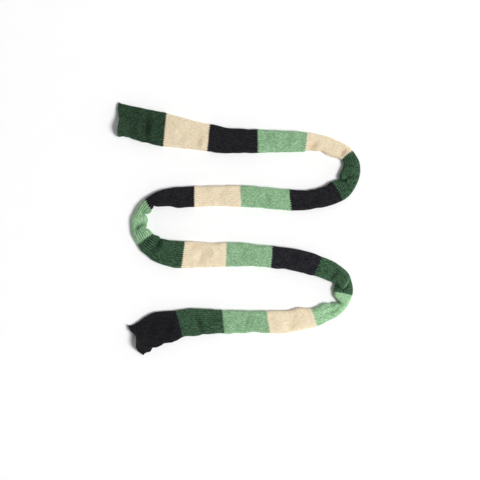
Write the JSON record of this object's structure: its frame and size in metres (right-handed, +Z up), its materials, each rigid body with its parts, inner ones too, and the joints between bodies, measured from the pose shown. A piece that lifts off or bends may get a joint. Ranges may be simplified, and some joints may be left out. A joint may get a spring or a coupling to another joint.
{
  "type": "striped knitted scarf",
  "caption": "Long, skinny, rolled-edge scarf in broad knitted stripes of four colours, lying flat in a loose S.",
  "frame": {"origin": "under the middle of the lay's bounding box, on the surface that the scarf lies on", "axes": "+Z up, away from the surface; +X to the right and +Y to the top of the lay seen from above, with the four runs lying roughly along X"},
  "size_m": [0.5403, 0.5536, 0.021],
  "materials": {
    "yarn_forest": "heathered forest green wool, stockinette knit",
    "yarn_cream": "heathered cream wool, stockinette knit",
    "yarn_black": "soft black wool, stockinette knit",
    "yarn_mint": "heathered mint green wool, stockinette knit"
  },
  "bodies": {
    "band_01": {"band_01_forest": "yarn_forest"},
    "band_02": {"band_02_cream": "yarn_cream"},
    "band_03": {"band_03_black": "yarn_black"},
    "band_04": {"band_04_mint": "yarn_mint"},
    "band_05": {"band_05_cream": "yarn_cream"},
    "band_06": {"band_06_forest": "yarn_forest"},
    "band_07": {"band_07_black": "yarn_black"},
    "band_08": {"band_08_mint": "yarn_mint"},
    "band_09": {"band_09_cream": "yarn_cream"},
    "band_10": {"band_10_black": "yarn_black"},
    "band_11": {"band_11_mint": "yarn_mint"},
    "band_12": {"band_12_forest": "yarn_forest"},
    "band_13": {"band_13_cream": "yarn_cream"},
    "band_14": {"band_14_mint": "yarn_mint"},
    "band_15": {"band_15_black": "yarn_black"},
    "band_16": {"band_16_forest": "yarn_forest"},
    "band_17": {"band_17_mint": "yarn_mint"},
    "band_18": {"band_18_cream": "yarn_cream"},
    "band_19": {"band_19_mint": "yarn_mint"},
    "band_20": {"band_20_forest": "yarn_forest"},
    "band_21": {"band_21_black": "yarn_black"}
  },
  "joints": [
    {"name": "end_border_01", "type": "hinge", "parent": "band_02", "child": "band_01", "pos_m": [-0.1606, 0.2196, 0.009], "axis": [0.1943, 0.9809, 0], "range_deg": [0, 40]},
    {"name": "run_border_02", "type": "hinge", "parent": "band_03", "child": "band_02", "pos_m": [-0.0656, 0.2026, 0], "axis": [0, 0, 1], "range_deg": [-15, 15]},
    {"name": "run_border_03", "type": "hinge", "parent": "band_04", "child": "band_03", "pos_m": [0.0414, 0.1936, 0], "axis": [0, 0, -1], "range_deg": [-15, 15]},
    {"name": "run_border_04", "type": "hinge", "parent": "band_05", "child": "band_04", "pos_m": [0.1504, 0.1926, 0], "axis": [0, 0, 1], "range_deg": [-15, 15]},
    {"name": "bend_border_05", "type": "hinge", "parent": "band_06", "child": "band_05", "pos_m": [0.25276, 0.17427, 0], "axis": [0, 0, -1], "range_deg": [0, 45]},
    {"name": "bend_border_06", "type": "hinge", "parent": "band_07", "child": "band_06", "pos_m": [0.23461, 0.06664, 0], "axis": [0, 0, -1], "range_deg": [0, 45]},
    {"name": "run_border_07", "type": "hinge", "parent": "band_08", "child": "band_07", "pos_m": [0.1154, 0.0646, 0], "axis": [0, 0, -1], "range_deg": [-15, 15]},
    {"name": "run_border_08", "type": "hinge", "parent": "band_09", "child": "band_08", "pos_m": [0.0064, 0.0726, 0], "axis": [0, 0, 1], "range_deg": [-15, 15]},
    {"name": "run_border_09", "type": "hinge", "parent": "band_10", "child": "band_09", "pos_m": [-0.0986, 0.0716, 0], "axis": [0, 0, -1], "range_deg": [-15, 15]},
    {"name": "bend_border_10", "type": "hinge", "parent": "band_11", "child": "band_10", "pos_m": [-0.20626, 0.0656, 0], "axis": [0, 0, 1], "range_deg": [0, 45]},
    {"name": "bend_border_11", "type": "hinge", "parent": "band_11", "child": "band_12", "pos_m": [-0.21936, -0.03372, 0], "axis": [0, 0, -1], "range_deg": [0, 45]},
    {"name": "run_border_12", "type": "hinge", "parent": "band_12", "child": "band_13", "pos_m": [-0.1206, -0.0554, 0], "axis": [0, 0, 1], "range_deg": [-15, 15]},
    {"name": "run_border_13", "type": "hinge", "parent": "band_13", "child": "band_14", "pos_m": [-0.0256, -0.0554, 0], "axis": [0, 0, -1], "range_deg": [-15, 15]},
    {"name": "run_border_14", "type": "hinge", "parent": "band_14", "child": "band_15", "pos_m": [0.0754, -0.0594, 0], "axis": [0, 0, 1], "range_deg": [-15, 15]},
    {"name": "run_border_15", "type": "hinge", "parent": "band_15", "child": "band_16", "pos_m": [0.1764, -0.0814, 0], "axis": [0, 0, -1], "range_deg": [-15, 15]},
    {"name": "bend_border_16", "type": "hinge", "parent": "band_16", "child": "band_17", "pos_m": [0.25166, -0.1435, 0], "axis": [0, 0, 1], "range_deg": [0, 45]},
    {"name": "run_border_17", "type": "hinge", "parent": "band_17", "child": "band_18", "pos_m": [0.1684, -0.1934, 0], "axis": [0, 0, -1], "range_deg": [-15, 15]},
    {"name": "run_border_18", "type": "hinge", "parent": "band_18", "child": "band_19", "pos_m": [0.0654, -0.2024, 0], "axis": [0, 0, 1], "range_deg": [-15, 15]},
    {"name": "run_border_19", "type": "hinge", "parent": "band_19", "child": "band_20", "pos_m": [-0.0336, -0.2024, 0], "axis": [0, 0, -1], "range_deg": [-15, 15]},
    {"name": "end_border_20", "type": "hinge", "parent": "band_20", "child": "band_21", "pos_m": [-0.1316, -0.2074, 0.0098], "axis": [-0.2219, 0.9751, 0], "range_deg": [0, 40]}
  ]
}
